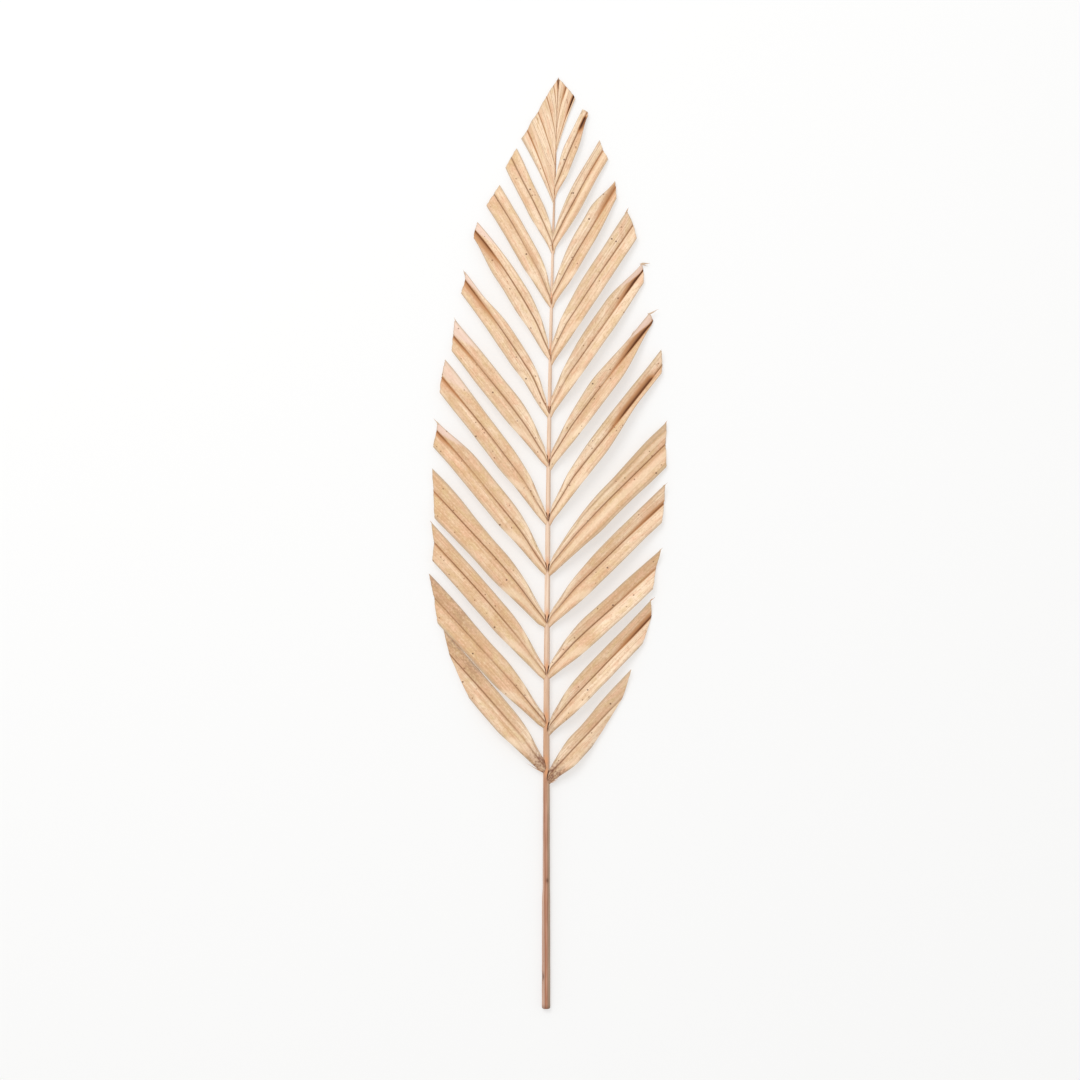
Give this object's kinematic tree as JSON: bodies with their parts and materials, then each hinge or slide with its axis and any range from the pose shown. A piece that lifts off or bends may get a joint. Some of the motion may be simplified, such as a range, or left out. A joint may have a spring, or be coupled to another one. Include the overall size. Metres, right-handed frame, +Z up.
{
  "type": "dried coconut palm frond",
  "caption": "Dried palm frond lying flat: a long bare stem, V-folded leaflets on both sides trimmed to a lance outline, and a pleated fan at the tip.",
  "frame": {"origin": "centre of the bounding box's bottom face; the frond lies on z = 0 with its folded valleys facing up", "axes": "+Y from the cut end of the stem to the tip, +X to the right seen from above, +Z up"},
  "size_m": [0.2537, 1, 0.0199],
  "materials": {
    "stem": "dry woody stalk, reddish brown at the cut end and tan between the leaflets, faint lengthwise grooves",
    "leaflet": "dry papery leaf, cream to tan, fine lengthwise veins, dark midrib crease, small brown specks",
    "tip_fan": "dry papery pleated leaf, cream on the ridges and tan in the folds"
  },
  "bodies": {
    "root": {"stem": "stem", "leaflet_left_01": "leaflet", "leaflet_left_02": "leaflet", "leaflet_left_03": "leaflet", "leaflet_left_04": "leaflet", "leaflet_left_05": "leaflet", "leaflet_left_06": "leaflet", "leaflet_left_07": "leaflet", "leaflet_left_08": "leaflet", "leaflet_left_09": "leaflet", "leaflet_left_10": "leaflet", "leaflet_left_11": "leaflet", "leaflet_right_01": "leaflet", "leaflet_right_02": "leaflet", "leaflet_right_03": "leaflet", "leaflet_right_04": "leaflet", "leaflet_right_05": "leaflet", "leaflet_right_06": "leaflet", "leaflet_right_07": "leaflet", "leaflet_right_08": "leaflet", "leaflet_right_09": "leaflet", "leaflet_right_10": "leaflet", "leaflet_right_11": "leaflet", "leaflet_right_12": "leaflet", "tip_fan_left": "tip_fan", "tip_fan_right": "tip_fan"}
  },
  "joints": []
}
